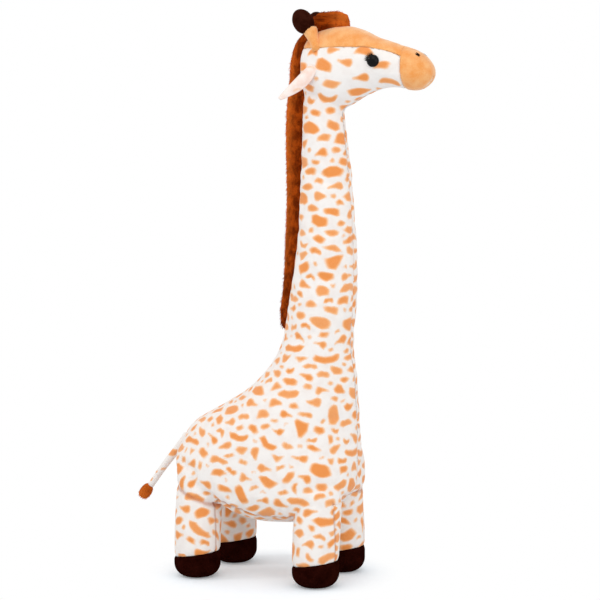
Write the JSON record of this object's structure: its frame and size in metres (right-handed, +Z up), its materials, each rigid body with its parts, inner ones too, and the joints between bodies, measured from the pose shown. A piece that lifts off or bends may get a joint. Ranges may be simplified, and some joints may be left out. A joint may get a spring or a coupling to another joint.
{
  "type": "stuffed toy giraffe",
  "caption": "Large standing plush giraffe with a long upright neck, spotted body, brown mane, knobbed horns, stub legs with dark hooves and a hanging tail.",
  "frame": {"origin": "floor level under the middle of the toy's bounding box", "axes": "+X towards the nose, +Y to the giraffe's left, +Z up the neck"},
  "size_m": [0.4866, 0.19, 0.8473],
  "materials": {
    "printed_plush": "short-pile white plush printed with irregular orange-tan spots",
    "tan_plush": "short-pile plain tan plush",
    "brown_fur": "brown fur fabric, short dense pile",
    "dark_plush": "short-pile very dark brown plush",
    "ear_lining": "short-pile pale pink plush",
    "stuffing": "loose white polyester fibre",
    "eye_plastic": "polished black",
    "washer_plastic": "moulded, unpainted",
    "lash_felt": "black felt and embroidery thread"
  },
  "bodies": {
    "giraffe": {"torso_skin": "printed_plush", "belly_panel": "printed_plush", "neck_skin": "printed_plush", "torso_stuffing": "stuffing", "neck_stuffing": "stuffing", "right_front_leg_skin": "printed_plush", "right_front_hoof": "dark_plush", "right_front_leg_stuffing": "stuffing", "right_rear_leg_skin": "printed_plush", "right_rear_hoof": "dark_plush", "right_rear_leg_stuffing": "stuffing", "left_front_leg_skin": "printed_plush", "left_front_hoof": "dark_plush", "left_front_leg_stuffing": "stuffing", "left_rear_leg_skin": "printed_plush", "left_rear_hoof": "dark_plush", "left_rear_leg_stuffing": "stuffing", "head_skin": "printed_plush", "blaze_panel": "tan_plush", "muzzle_skin": "tan_plush", "head_stuffing": "stuffing", "right_eye": "eye_plastic", "right_eye_washer": "washer_plastic", "right_eyelash": "lash_felt", "right_horn_stem": "tan_plush", "right_horn_tip": "dark_plush", "right_horn_stuffing": "stuffing", "left_eye": "eye_plastic", "left_eye_washer": "washer_plastic", "left_eyelash": "lash_felt", "left_horn_stem": "tan_plush", "left_horn_tip": "dark_plush", "left_horn_stuffing": "stuffing", "mane": "brown_fur", "forelock": "brown_fur"},
    "tail": {"tail_skin": "printed_plush", "tail_stuffing": "stuffing", "tail_tuft": "brown_fur"},
    "right_ear": {"right_ear_back": "printed_plush", "right_ear_lining": "ear_lining"},
    "left_ear": {"left_ear_back": "printed_plush", "left_ear_lining": "ear_lining"}
  },
  "joints": [
    {"name": "tail_swing", "type": "hinge", "parent": "giraffe", "child": "tail", "pos_m": [-0.15903, 0, 0.20112], "axis": [0, 1, 0], "range_deg": [-20, 60], "stiffness_Nm_per_rad": 0.05, "springref_deg": 1.15},
    {"name": "right_ear_flap", "type": "hinge", "parent": "giraffe", "child": "right_ear", "pos_m": [0.06942, -0.04039, 0.76323], "axis": [-0.8061, 0.2666, 0.5284], "range_deg": [-5, 45], "stiffness_Nm_per_rad": 0.02, "springref_deg": 0.57},
    {"name": "left_ear_flap", "type": "hinge", "parent": "giraffe", "child": "left_ear", "pos_m": [0.06942, 0.04038, 0.76323], "axis": [0.8061, 0.267, -0.5282], "range_deg": [-5, 45], "stiffness_Nm_per_rad": 0.02, "springref_deg": 0.57}
  ]
}
